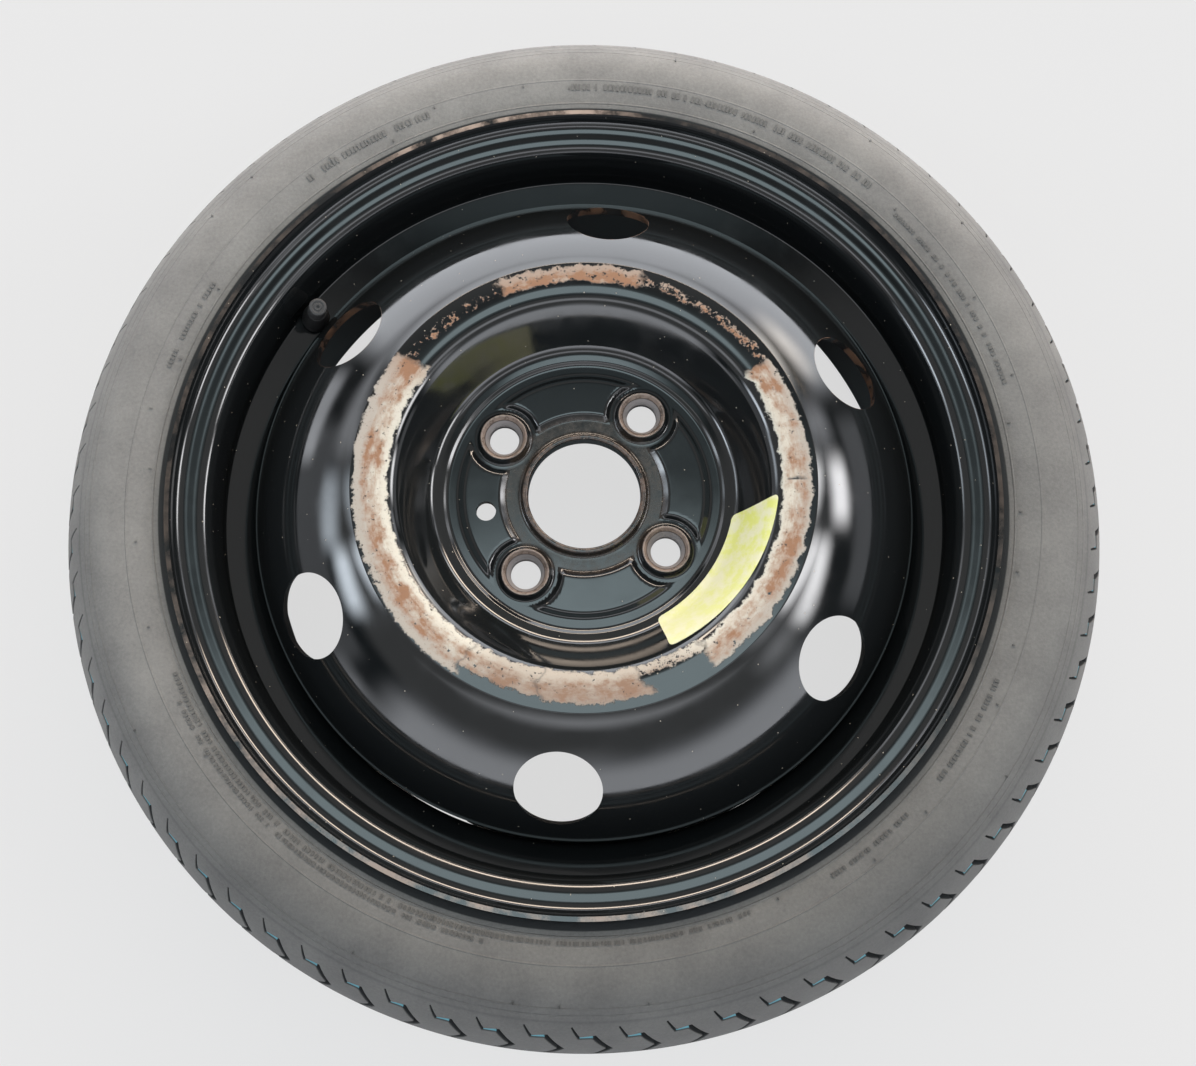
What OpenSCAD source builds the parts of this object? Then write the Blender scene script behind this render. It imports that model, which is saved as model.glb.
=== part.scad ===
// Space saver spare wheel: a narrow tyre on a pressed steel wheel with a snap-in valve.
// The wheel lies flat. Z is its axis and points outboard, and Z = 0 is the face that sits on the hub.

/* [Tyre] */
// Overall diameter of the tyre
tyre_od = 542; // [534:1:550]
// Section width of the tyre
tyre_width = 117; // [114:0.5:119]
// Radius of the tread across its width
crown_r = 78; // [72:1:90]
// Half width of the tread, up to the shoulder
tread_half = 46; // [43:0.5:47]
// Thickness under the middle of the tread
tread_wall = 11; // [9:0.5:13]
// Thickness of the sidewall
side_wall = 6; // [5:0.5:7]
// Distance of the bead's toe from the flange
bead_width = 14.8; // [13:0.1:15.5]
// Number of tread pitches round the tyre
pitches = 72; // [60:1:76]
// Depth of the tread grooves
groove_depth = 3.5; // [2:0.5:5]
// Width of the widest stretch of a zigzag groove
groove_w = 3.2; // [2:0.1:4]
// Width of the two grooves that run round the tread
ring_groove_w = 5; // [3:0.5:7]
// Distance of those grooves from the middle of the tread
ring_groove_y = 10; // [8:0.5:12]

/* [Rim] */
// Diameter of the bead seat at the flange
bead_d = 380.2; // [379.8:0.1:380.6]
// Width between the flanges
rim_width = 101.6; // [100:0.1:103]
// Height of the flange over the bead seat
flange_h = 17.3; // [16:0.1:18.5]
// Outer radius of the flange's curl
curl_r = 9.5; // [8.5:0.1:10.5]
// Reach of the flange's lip past the flange wall
lip_reach = 11.2; // [10.8:0.1:13]
// Thickness of the rim's sheet
rim_t = 2.3; // [2:0.1:2.6]
// Depth of the well under the bead seat
well_depth = 17.3; // [17:0.1:18]
// Slope of the valve hole's wall, from square to the axis
wall_slope = 20.6; // [18:0.2:24]

/* [Disc] */
// Distance of the hub face from the middle of the rim
wheel_offset = 45; // [43:0.5:47]
// Thickness of the disc's sheet
disc_t = 4; // [3.5:0.1:4.5]
// Diameter of the centre bore
bore_d = 56.6; // [54:0.1:58.2]
// Outer radius of the collar drawn up round the bore
collar_r = 31; // [30.5:0.1:32]
// Height of the collar over the hub face
collar_h = 8.5; // [7:0.5:10]
// Circle of the wheel bolts
bolt_pcd = 100; // [98:1:108]
// Diameter of a bolt hole
bolt_d = 15; // [14:0.1:16]
// Radius of the coned bolt seat at its mouth
seat_r = 11; // [10:0.1:12]
// Radius of the dish pressed round each bolt
dish_r = 16.5; // [15.5:0.1:17.5]
// Height of the raised ring that joins the bolts
pad_rise = 2.2; // [1:0.1:3]
// Radius of the locating hole between two bolts
locator_r = 5; // [4:0.1:6]
// Radius at the foot of the bowl's wall
bowl_foot_r = 71; // [70:0.5:73]
// Radius at the top of the bowl's wall
bowl_top_r = 93; // [92:0.5:95]
// Height of the crest over the hub face
crest_z = 33; // [30:0.5:35]
// Radius of the step where the crest ends
step_r = 115.5; // [114:0.5:117]
// Radius of the dome's curve
dome_r = 117; // [112:1:125]
// Radius of the circle of vent holes
vent_circle_r = 145.7; // [143:0.5:148]
// Radius of a vent hole
vent_r = 20.8; // [18:0.1:22]
// Slope of the dome at the vent holes
vent_slope = 41; // [39:0.5:43]
// Depth of the skirt's edge below the hub face
skirt_depth = 56; // [52:0.5:58]
// Depth of the flats that part the skirt from the rim
relief_depth = 1.6; // [1:0.1:2]
// Angle of each flat round the skirt
relief_angle = 32; // [24:1:36]

/* [Valve] */
// Place of the valve round the wheel
valve_angle = 143.8; // [140:0.2:150]
// Distance of the valve hole from the ridge of the rim, along the wall
valve_inset = 9; // [8.9:0.1:9.2]
// Lean of the valve towards the axis
valve_lean = 16; // [14:0.5:22]
// Diameter of the valve hole
valve_hole_d = 11.5; // [11.3:0.1:11.7]
// Length of rubber outside the rim
valve_rubber_l = 20.5; // [19:0.5:22]
// Length of valve outside the rim, to the end of the brass
valve_reach = 30; // [29:0.5:32]
// Diameter of the valve's thread
thread_d = 7.7; // [7.5:0.1:7.9]
// Outer diameter of the cap
cap_d = 9.2; // [9:0.1:10]
// Travel of the valve core's pin
pin_travel = 1.2; // [0.8:0.1:1.5]

/* [Label] */
// Inner radius of the label on the bowl's wall
label_r0 = 75.5; // [74:0.5:80]
// Outer radius of the label
label_r1 = 94; // [88:0.5:96]
// Angle at which the label starts
label_from = -61; // [-70:1:-40]
// Angle that the label covers
label_sweep = 56; // [30:1:70]
// Thickness of the label
label_t = 0.2; // [0.1:0.05:0.3]

/* [Hidden] */
$fn = 96;
gap = 0.15;
cut = 1;
arc_steps = 5;
least_fillet = 0.6;
mid_z = -wheel_offset;

// Path helpers. A path is a list of [radius, height, corner radius].
function unit(v) = v / norm(v);
function flat(p) = [p[0], p[1]];
function wrap(a) = a > 180 ? a - 360 : a < -180 ? a + 360 : a;
function arc(c, r, a0, a1, n = arc_steps) = [for (k = [0:n]) c + r * [cos(a0 + (a1 - a0) * k / n), sin(a0 + (a1 - a0) * k / n)]];
function corner(a, b, c) = let (
    u = unit(flat(a) - flat(b)),
    v = unit(flat(c) - flat(b)),
    half = acos(u * v) / 2,
    o = flat(b) + unit(u + v) * b[2] / sin(half),
    s = flat(b) + u * b[2] / tan(half) - o,
    e = flat(b) + v * b[2] / tan(half) - o,
    a0 = atan2(s[1], s[0])
) arc(o, b[2], a0, a0 + wrap(atan2(e[1], e[0]) - a0));
function rounded(path) = [for (i = [0:len(path) - 1])
    each path[i][2] == 0 ? [flat(path[i])] : corner(path[i - 1], path[i], path[i + 1])];
function right_of(a, b) = let (d = unit(b - a)) [d[1], -d[0]];
function mitre(p, i) = let (
    n0 = i == 0 ? right_of(p[0], p[1]) : right_of(p[i - 1], p[i]),
    n1 = i == len(p) - 1 ? n0 : right_of(p[i], p[i + 1])
) (n0 + n1) / (1 + n0 * n1);
function beside(p, t) = [for (i = [0:len(p) - 1]) p[i] + t * mitre(p, i)];
function reversed(p) = [for (i = [len(p) - 1:-1:0]) p[i]];
function turns_left(p, i) = right_of(p[i - 1], p[i]) * (p[i + 1] - p[i]) < 0;
function back_of(path, t) = let (p = [for (q = path) flat(q)]) [for (i = [0:len(p) - 1]) let (
    at = p[i] + t * mitre(p, i),
    r = path[i][2]
) [at[0], at[1], r == 0 ? 0 : turns_left(p, i) ? r + t : max(r - t, least_fillet)]];
function sheet(path, t) = concat(rounded(path), reversed(rounded(back_of(path, t))));
function ribbon(p, w) = concat(
    [for (i = [0:len(p) - 1]) p[i] + w[i] / 2 * mitre(p, i)],
    [for (i = [len(p) - 1:-1:0]) p[i] - w[i] / 2 * mitre(p, i)]);

// Rim, as the tyre sees it, measured from the middle of the rim
seat_taper = 5;
bead_r = bead_d / 2;
half_w = rim_width / 2;
flange_r = bead_r + flange_h;
well_r = bead_r - well_depth;
heel_r = 6.5;
hump_y = 27;
seat_end_y = hump_y + 5;
hump_inset = (half_w - seat_end_y) * tan(seat_taper);
ridge_y = 18.5;
ridge_fillet = 4.5;
well_fillet = 5;
wall_drop = well_depth * tan(wall_slope);
inner_ridge_y = -27;
well_draft = 0.15;
hump_rise = 0.1;
lip_flare = 0.1;
function well_face(y) = well_r - rim_t + well_draft * (y - inner_ridge_y - wall_drop)
    / (ridge_y - inner_ridge_y - 2 * wall_drop);
rim_path = [
    [flange_r + lip_flare, half_w + lip_reach, 0],
    [flange_r, half_w, curl_r],
    [bead_r, half_w, heel_r],
    [bead_r - hump_inset, seat_end_y, 6],
    [bead_r + hump_rise, hump_y, 4],
    [bead_r, ridge_y, ridge_fillet],
    [well_r + well_draft, ridge_y - wall_drop, well_fillet],
    [well_r, inner_ridge_y + wall_drop, well_fillet],
    [bead_r, inner_ridge_y, 3.5],
    [bead_r - hump_inset, -seat_end_y, 6],
    [bead_r, -half_w, heel_r],
    [flange_r, -half_w, curl_r],
    [flange_r + lip_flare, -half_w - lip_reach, 0]];

// Tyre section
tread_r = tyre_od / 2;
half_tyre = tyre_width / 2;
crown_c = tread_r - crown_r;
edge_a = asin(tread_half / crown_r);
edge_r = crown_c + crown_r * cos(edge_a);
shoulder_r = (half_tyre - tread_half) / (1 - sin(edge_a));
wide_r = edge_r - shoulder_r * cos(edge_a);
leave_a = 50;
curl_c = [flange_r - curl_r, half_w + curl_r];
leave = curl_c + (curl_r + gap) * [sin(leave_a), -cos(leave_a)];
foot_rise = half_tyre - leave[1];
foot_r = ((wide_r - leave[0]) ^ 2 + foot_rise ^ 2) / (2 * foot_rise);
foot_a = asin((wide_r - leave[0]) / foot_r);
toe_y = half_w - bead_width;
toe_r = bead_r - bead_width * tan(seat_taper) + gap;
cavity_r = tread_r - tread_wall;
outer_half = concat(
    arc([crown_c, 0], crown_r, 0, edge_a, 4),
    arc([wide_r, half_tyre - shoulder_r], shoulder_r, edge_a, 90, 5),
    arc([wide_r, half_tyre - foot_r], foot_r, 90, 90 + foot_a, 3),
    arc(curl_c, curl_r + gap, leave_a - 90, -90, 3));
bead_half = rounded([
    [curl_c[0], half_w - gap, 0],
    [bead_r + gap, half_w - gap, heel_r],
    [toe_r, toe_y, 0]]);
cavity_half = rounded([
    [toe_r, toe_y, 0],
    [toe_r + 9, toe_y + 2.5, 6],
    [toe_r + 25, half_tyre - side_wall - 1, 20],
    [cavity_r - 3, half_tyre - side_wall, 30],
    [cavity_r, 0, 0]]);
function no_repeats(p) = [for (i = [0:len(p) - 1]) if (i == 0 || norm(p[i] - p[i - 1]) > 0.01) p[i]];
tyre_half = no_repeats(concat(outer_half, bead_half, cavity_half));
tyre_outline = concat(tyre_half, [for (i = [len(tyre_half) - 2:-1:1]) [tyre_half[i][0], -tyre_half[i][1]]]);

// Tread pattern, as [distance round the tyre, distance from the middle]
pitch = 360 / pitches;
groove_phase = 3.8;
zigzag = [[0, 47], [3.7, 38.5], [11, 39.5], [18.3, 26], [9.5, 11]];
zigzag_w = [0.3, 0.62, 1, 1, 0.9] * groove_w;
band_path = reversed(arc([crown_c, 0], crown_r, -edge_a, edge_a, 6));
band_shoulder = arc([wide_r, half_tyre - shoulder_r], shoulder_r, edge_a + 12, 66, 2);
band_edge = concat(reversed(band_shoulder), band_path, [for (p = band_shoulder) [p[0], -p[1]]]);

// Disc, seen from outboard
skirt_r = well_r - rim_t - gap;
dome_c = vent_circle_r - dome_r * sin(vent_slope);
vent_z = 12.6;
dome_cz = vent_z - dome_r * cos(vent_slope);
function dome_z(r) = dome_cz + sqrt(dome_r ^ 2 - (r - dome_c) ^ 2);
dome_end_r = skirt_r - 7.3;
dome_a0 = acos((step_r - dome_c) / dome_r);
dome_a1 = acos((dome_end_r - dome_c) / dome_r);
skirt_corner_z = dome_z(dome_end_r) - (skirt_r - dome_end_r) / tan(dome_a1);
foot_z = disc_t + 5;
bend_out = 6.4;
bend_up = 1.7;
crest_drop = 0.2;
crest_end_r = step_r - 2.2;
bowl_path = [
    [collar_r - 0.5, disc_t, 0],
    [bowl_foot_r - 5, disc_t, 4],
    [bowl_foot_r, foot_z, 2.5],
    [bowl_foot_r + bend_out, foot_z + bend_up, 14],
    [bowl_top_r, crest_z, 13.5]];
disc_path = concat(
    bowl_path,
    [[crest_end_r, crest_z - crest_drop, 1.5]],
    [for (p = arc([dome_c, dome_cz], dome_r, dome_a0, dome_a1, 12)) [p[0], p[1], 0]],
    [[skirt_r, skirt_corner_z, 14],
    [skirt_r, -skirt_depth, 0]]);
pad_r0 = 39.5;
pad_r1 = 60.5;
pad_flank = 3;
bolt_phase = 54.5;
bolt_count = 4;
seat_angle = 30;
seat_depth = (seat_r - bolt_d / 2) / tan(seat_angle);
seat_top = disc_t + 5;
locator_angle = 190.3;
vent_phase = 25.3;
vent_count = 6;
relief_phase = -66;
relief_count = 6;
weld_leg = 4;
weld_inset = 3;
weld_gap = 0.1;
label_gap = 0.05;
weld_top = -skirt_depth - weld_gap;

// Valve, along its own axis from the outboard face of the rim
wall_dir = [cos(wall_slope), sin(wall_slope)];
valve_seat = [bead_r, ridge_y] - valve_inset * wall_dir + rim_t * [-wall_dir[1], wall_dir[0]];
neck_r = valve_hole_d / 2 - gap;
head_r = 7.2;
head_gap = 0.9;
neck_foot = -rim_t - head_gap;
bulb_end = -11;
stem_r = 3.1;
stem_bore_r = 2.1;
plug_bore_r = 2.65;
plug_l = 5.5;
plug_top = valve_reach - 1;
barrel_top = plug_top - plug_l - 0.1;
barrel_foot = barrel_top - 8.4;
barrel_r = 1.7;
barrel_bore_r = 1.4;
seat_w = barrel_top - 3.4;
pin_r = 0.5;
pin_hole_r = 0.65;
pin_head_r = 0.9;
collar_w = barrel_top - 1.1;
cup_r = 1.6;
cup_top = barrel_foot - 0.1;
spring_foot = barrel_foot + 1.3;
spring_wire_r = 0.14;
spring_r = 1.0;
spring_turns = 6;
cap_wall = cap_d / 2 - thread_d / 2 - 0.25;
cap_foot = valve_rubber_l + 0.6;
cap_top = valve_reach + 1.8;

module at_valve() {
    rotate([0, 0, valve_angle])
        translate([valve_seat[0], 0, mid_z + valve_seat[1]])
            rotate([0, -valve_lean, 0])
                children();
}

module turned(outline) {
    rotate_extrude()
        polygon(outline);
}

module each_of(count, phase) {
    for (i = [0:count - 1])
        rotate([0, 0, phase + i * 360 / count])
            children();
}

module zigzag_cutter() {
    translate([edge_r - groove_depth - 4, 0, 0])
        rotate([90, 0, 90])
            linear_extrude(height = tread_r - edge_r + groove_depth + 8)
                polygon(ribbon(zigzag, zigzag_w));
}

module tread_band() {
    turned(concat(beside(band_edge, groove_depth), reversed(beside(band_edge, -3))));
}

module ring_groove(y) {
    r = crown_c + sqrt(crown_r ^ 2 - y ^ 2);
    turned([
        [r - groove_depth - 1, y - ring_groove_w / 2],
        [r + 3, y - ring_groove_w / 2],
        [r + 3, y + ring_groove_w / 2],
        [r - groove_depth - 1, y + ring_groove_w / 2]]);
}

module tyre() {
    color("#6b6c6f")
        translate([0, 0, mid_z])
            difference() {
                turned(tyre_outline);
                intersection() {
                    tread_band();
                    union() {
                        each_of(pitches, groove_phase)
                            zigzag_cutter();
                        each_of(pitches, groove_phase + pitch / 2)
                            rotate([180, 0, 0])
                                zigzag_cutter();
                    }
                }
                ring_groove(ring_groove_y);
                ring_groove(-ring_groove_y);
            }
}

module rim() {
    color("#141618")
        difference() {
            translate([0, 0, mid_z])
                turned(sheet(rim_path, rim_t));
            at_valve()
                cylinder(h = 12, d = valve_hole_d, center = true);
        }
}

module raised_ring(z, rise, flank) {
    turned([
        [pad_r0, z],
        [pad_r0 + flank, z + rise],
        [pad_r1, z + rise],
        [pad_r1 + flank, z]]);
}

module bolt_dishes(r0, r1, z, h) {
    each_of(bolt_count, bolt_phase)
        translate([bolt_pcd / 2, 0, z])
            cylinder(h = h, r1 = r0, r2 = r1);
}

module wheel_disc() {
    color("#16191b")
        difference() {
            union() {
                turned(sheet(disc_path, disc_t));
                turned([
                    [bore_d / 2, 0],
                    [collar_r, 0],
                    [collar_r, collar_h - 1],
                    [collar_r - 1, collar_h],
                    [bore_d / 2, collar_h]]);
                difference() {
                    raised_ring(disc_t - 0.2, pad_rise + 0.2, pad_flank);
                    bolt_dishes(dish_r - 0.2, dish_r + pad_rise, disc_t - 0.2, pad_rise + 0.4);
                }
                each_of(bolt_count, bolt_phase)
                    translate([bolt_pcd / 2, 0, disc_t - 0.2])
                        cylinder(h = seat_top - disc_t + 0.2, r1 = seat_r + 3.2, r2 = seat_r + 0.8);
            }
            difference() {
                translate([0, 0, pad_rise - 0.2])
                    mirror([0, 0, 1])
                        turned([
                            [pad_r0 + pad_flank + 3, 0],
                            [pad_r1 - 3, 0],
                            [pad_r1 - 1, pad_rise + 1],
                            [pad_r0 + pad_flank + 1, pad_rise + 1]]);
                bolt_dishes(dish_r, dish_r, -cut, pad_rise + 2 * cut);
            }
            each_of(bolt_count, bolt_phase)
                translate([bolt_pcd / 2, 0, 0]) {
                    translate([0, 0, -cut])
                        cylinder(h = seat_top + 2 * cut, d = bolt_d);
                    translate([0, 0, seat_top - seat_depth])
                        cylinder(h = seat_depth, r1 = bolt_d / 2, r2 = seat_r);
                }
            rotate([0, 0, locator_angle])
                translate([bolt_pcd / 2, 0, -cut])
                    cylinder(h = 12, r = locator_r);
            each_of(vent_count, vent_phase)
                translate([vent_circle_r, 0, vent_z])
                    rotate([0, vent_slope, 0])
                        cylinder(h = 18, r = vent_r, center = true);
            each_of(relief_count, relief_phase)
                translate([0, 0, -skirt_depth - cut])
                    rotate_extrude(angle = relief_angle)
                        polygon([
                            [skirt_r - relief_depth, 0],
                            [skirt_r + cut, 0],
                            [skirt_r + cut, skirt_depth + skirt_corner_z],
                            [skirt_r - relief_depth, skirt_depth + skirt_corner_z - 4]]);
        }
}

module disc_welds() {
    weld_angle = 360 / relief_count - relief_angle - 2 * weld_inset;
    color("#1b1d1f")
        each_of(relief_count, relief_phase + relief_angle + weld_inset)
            translate([0, 0, weld_top])
                rotate_extrude(angle = weld_angle)
                    polygon([
                        [well_face(weld_top - mid_z) - weld_gap, 0],
                        [well_face(weld_top - mid_z - weld_leg) - weld_gap, -weld_leg],
                        [skirt_r - weld_leg * 0.4, -weld_leg * 0.75],
                        [skirt_r - weld_leg * 0.75, -weld_leg * 0.4],
                        [skirt_r - weld_leg * 0.93, 0]]);
}

module label() {
    wall = rounded(concat(bowl_path, [[crest_end_r, crest_z - crest_drop, 0]]));
    path = concat(
        [[label_r0, lookup(label_r0, wall)]],
        [for (p = wall) if (p[0] > label_r0 + 0.3 && p[0] < label_r1 - 0.3) p],
        [[label_r1, lookup(label_r1, wall)]]);
    color("#e6ea9c")
        rotate([0, 0, label_from])
            rotate_extrude(angle = label_sweep)
                polygon(concat(beside(path, -label_gap), reversed(beside(path, -label_gap - label_t))));
}

module valve_body() {
    color("#111213")
        at_valve()
            difference() {
                turned([
                    [0, bulb_end],
                    [4.6, bulb_end],
                    [5.6, bulb_end + 1],
                    [head_r + 0.2, neck_foot - 1.6],
                    [head_r + 0.2, neck_foot - 0.5],
                    [neck_r + 0.4, neck_foot],
                    [neck_r, neck_foot + 0.3],
                    [neck_r, head_gap],
                    [head_r - 1.2, head_gap + 0.1],
                    [head_r, head_gap + 1.6],
                    [head_r, head_gap + 4],
                    [head_r - 0.7, head_gap + 8],
                    [5.4, valve_rubber_l - 1],
                    [4.9, valve_rubber_l],
                    [0, valve_rubber_l]]);
                translate([0, 0, bulb_end - cut])
                    cylinder(h = valve_rubber_l - bulb_end + 2 * cut, r = stem_r + 0.05);
            }
}

module valve_stem() {
    color("#b08d4a")
        at_valve()
            turned([
                [stem_bore_r, bulb_end + 0.5],
                [stem_r, bulb_end + 0.5],
                [stem_r, valve_rubber_l + 0.2],
                [thread_d / 2, valve_rubber_l + 0.2],
                [thread_d / 2, valve_reach - 0.6],
                [thread_d / 2 - 0.6, valve_reach],
                [plug_bore_r + 0.1, valve_reach],
                [plug_bore_r, valve_reach - 0.2],
                [plug_bore_r, seat_w + 1.6],
                [stem_bore_r, seat_w]]);
}

module core_plug() {
    color("#c8a35a")
        at_valve()
            translate([0, 0, plug_top - plug_l])
                difference() {
                    cylinder(h = plug_l, r = plug_bore_r - 0.05);
                    translate([0, 0, -cut])
                        cylinder(h = plug_l + 2 * cut, r = pin_hole_r);
                    translate([0, 0, plug_l - pin_travel - 0.4])
                        cylinder(h = pin_travel + cut, r = pin_head_r + 0.2);
                    translate([0, 0, plug_l - 2])
                        for (side = [-1, 1])
                            translate([side * 2.6, 0, 1.5])
                                cube([2.8, 6, 3.2], center = true);
                }
}

module core_barrel() {
    color("#c8a35a")
        at_valve()
            turned([
                [barrel_bore_r, barrel_top],
                [barrel_r + 0.4, barrel_top],
                [barrel_r + 0.4, barrel_top - 0.8],
                [barrel_r, barrel_top - 0.8],
                [barrel_r, barrel_foot],
                [pin_hole_r, barrel_foot],
                [pin_hole_r, spring_foot - 0.2],
                [barrel_bore_r, spring_foot - 0.2]]);
}

module core_gasket() {
    color("#d9d2c4")
        at_valve()
            turned([
                [barrel_r + 0.05, seat_w + 0.2],
                [stem_bore_r - 0.05, seat_w + 0.2],
                [plug_bore_r - 0.12, seat_w + 1.8],
                [plug_bore_r - 0.12, seat_w + 2.4],
                [barrel_r + 0.05, seat_w + 2.4]]);
}

module core_pin() {
    color("#c8a35a")
        at_valve()
            union() {
                translate([0, 0, cup_top - 3])
                    cylinder(h = plug_top + 0.4 - cup_top + 3, r = pin_r);
                translate([0, 0, collar_w])
                    cylinder(h = 0.5, r = barrel_bore_r - 0.2);
                translate([0, 0, plug_top + 0.2])
                    cylinder(h = 0.4, r = pin_head_r);
                translate([0, 0, cup_top - 3])
                    cylinder(h = 0.4, r = pin_head_r);
            }
}

module core_cup() {
    color("#c8a35a")
        at_valve()
            turned([
                [pin_r + 0.03, cup_top - 2.5],
                [cup_r, cup_top - 2.5],
                [cup_r, cup_top - 0.6],
                [cup_r - 0.25, cup_top - 0.6],
                [cup_r - 0.25, cup_top - 1.4],
                [pin_r + 0.03, cup_top - 1.4]]);
}

module core_seal() {
    color("#1a1a1c")
        at_valve()
            turned([
                [pin_r + 0.03, cup_top - 1.35],
                [cup_r - 0.3, cup_top - 1.35],
                [cup_r - 0.3, cup_top],
                [pin_r + 0.03, cup_top]]);
}

module core_spring() {
    steps = 12;
    sides = 6;
    rings = spring_turns * steps;
    rise = collar_w - 0.1 - spring_foot - 2 * spring_wire_r;
    points = [for (i = [0:rings], j = [0:sides - 1]) let (
        a = i * 360 / steps,
        b = j * 360 / sides,
        r = spring_r + spring_wire_r * cos(b)
    ) [r * cos(a), r * sin(a), spring_foot + spring_wire_r + rise * i / rings + spring_wire_r * sin(b)]];
    sleeve = [for (i = [0:rings - 1], j = [0:sides - 1]) [
        i * sides + j,
        (i + 1) * sides + j,
        (i + 1) * sides + (j + 1) % sides,
        i * sides + (j + 1) % sides]];
    ends = [[for (j = [0:sides - 1]) j], [for (j = [sides - 1:-1:0]) rings * sides + j]];
    color("#b9bcc0")
        at_valve()
            polyhedron(points, concat(sleeve, ends));
}

module valve_cap() {
    color("#2a2b2d")
        at_valve()
            difference() {
                turned([
                    [0, cap_foot],
                    [cap_d / 2 - 0.2, cap_foot],
                    [cap_d / 2, cap_foot + 0.3],
                    [cap_d / 2, cap_top - 0.9],
                    [cap_d / 2 - 0.9, cap_top],
                    [0, cap_top]]);
                translate([0, 0, cap_foot - cut])
                    cylinder(h = valve_reach + 0.3 - cap_foot + cut, r = cap_d / 2 - cap_wall);
                translate([0, 0, cap_top - 0.8])
                    cylinder(h = 1 + cut, r = 0.8);
            }
}

tyre();
rim();
wheel_disc();
disc_welds();
label();
valve_body();
valve_stem();
core_plug();
core_barrel();
core_gasket();
core_pin();
core_cup();
core_seal();
core_spring();
valve_cap();
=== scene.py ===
import math
import random
from types import SimpleNamespace

import bmesh
import bpy
from mathutils import Matrix, Vector


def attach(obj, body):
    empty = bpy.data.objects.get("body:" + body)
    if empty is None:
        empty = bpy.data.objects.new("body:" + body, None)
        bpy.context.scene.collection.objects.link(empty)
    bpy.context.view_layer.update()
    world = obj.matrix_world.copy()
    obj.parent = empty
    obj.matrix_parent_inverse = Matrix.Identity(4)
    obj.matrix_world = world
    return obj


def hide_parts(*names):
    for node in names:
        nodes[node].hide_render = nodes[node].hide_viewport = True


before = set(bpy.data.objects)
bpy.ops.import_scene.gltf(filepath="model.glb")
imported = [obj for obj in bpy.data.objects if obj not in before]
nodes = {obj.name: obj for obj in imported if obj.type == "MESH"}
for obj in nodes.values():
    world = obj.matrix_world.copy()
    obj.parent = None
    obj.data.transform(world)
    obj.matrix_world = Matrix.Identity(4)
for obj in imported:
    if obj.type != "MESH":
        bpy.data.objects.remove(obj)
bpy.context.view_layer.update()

# Sizes below are in millimetres, heights from the hub face and angles in degrees.
MM = 0.001
WHEEL_OFFSET = 45.0
MID_Z = -WHEEL_OFFSET

# Camera, fitted to the photograph, and the picture it frames
LENS = 43.91
SENSOR_WIDTH = 36.0
CAMERA_AT = (4.8, -194.0, 712.7)
CAMERA_TILT = math.radians(13.817)
CAMERA_ROLL = math.radians(-0.17)

# Tyre
TYRE_OD = 542.0
TYRE_WIDTH = 117.0
CROWN_R = 78.0
TREAD_HALF = 46.0
TREAD_WALL = 11.0
SIDE_WALL = 6.0
BEAD_WIDTH = 14.8
PITCHES = 72
GROOVE_DEPTH = 3.5
GROOVE_W = 3.2
RING_GROOVE_W = 5.0
RING_GROOVE_Y = 10.0
GROOVE_PHASE = 3.8
ZIGZAG = ((0.0, 47.0), (3.7, 38.5), (11.0, 39.5), (18.3, 26.0), (9.5, 11.0))
ZIGZAG_WIDTHS = (0.3, 0.62, 1.0, 1.0, 0.9)
PAINT_LINE_W = 1.0
MOULD_RINGS = (214.6, 227.4, 246.6, 249.8)

# Rim
BEAD_R = 190.1
RIM_WIDTH = 101.6
FLANGE_H = 17.3
CURL_R = 9.5
LIP_REACH = 11.2
RIM_T = 2.3
WELL_DEPTH = 17.3
WALL_SLOPE = 20.6
SEAT_TAPER = 5.0
WELL_DRAFT = 0.15
HUMP_RISE = 0.1
SEAT_END_Y = 32.0
HUMP_Y = 27.0
WELL_TOP_Y = 18.5
BEAD_FILLET = 6.5
LIP_FLARE = 0.1
GAP = 0.15
RIM_STEPS = 288

# Disc
DISC_T = 4.0
BORE_R = 28.3
COLLAR_R = 31.0
COLLAR_H = 8.5
BOLT_CIRCLE_R = 50.0
BOLT_R = 7.5
SEAT_R = 11.0
SEAT_H = 5.0
SEAT_HALF_ANGLE = 30.0
DISH_R = 16.5
PAD_RISE = 2.2
PAD_R0, PAD_R1, PAD_FLANK = 39.5, 60.3, 3.3
LOCATOR_R = 5.0
LOCATOR_ANGLE = 190.3
BOLT_PHASE = 54.5
BOWL_FOOT_R = 71.0
CREST_Z = 33.0
STEP_R = 115.5
# The bowl's S-shaped wall, from foot to crest, as (radius, height, fillet)
BOWL_WALL = ((BOWL_FOOT_R, 5.45, 2.5), (76.6, 6.9, 8.5), (94.6, CREST_Z, 13.5))
CREST_END = (STEP_R - 2.2, CREST_Z - 0.2, 1.5)
DOME_R = 117.0
VENT_CIRCLE_R = 145.7
VENT_Z = 12.6
VENT_R = 20.9
VENT_OUT = 2.95
VENT_FLARE = 0.4
VENT_SLOPE = 41.0
VENT_PHASE = 25.3
SKIRT_DEPTH = 56.0
SKIRT_FILLET = 14.0
DOME_END_INSET = 7.3
RELIEF_DEPTH = 1.6
RELIEF_ANGLE = 32.6
RELIEF_PHASE = -52.3
RELIEF_COUNT = 4
WELD_LEG = 4.0
WELD_INSET = 3.0
DISC_STEPS = 320

# Valve, along its own axis from the outboard face of the rim
VALVE_ANGLE = 143.8
VALVE_INSET = 9.0
VALVE_LEAN = 16.0
VALVE_HOLE_R = 5.75
VALVE_RUBBER_L = 20.5
VALVE_REACH = 30.0
CAP_R = 4.6
HEAD_R = 7.2
HEAD_GAP = 0.9

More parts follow.
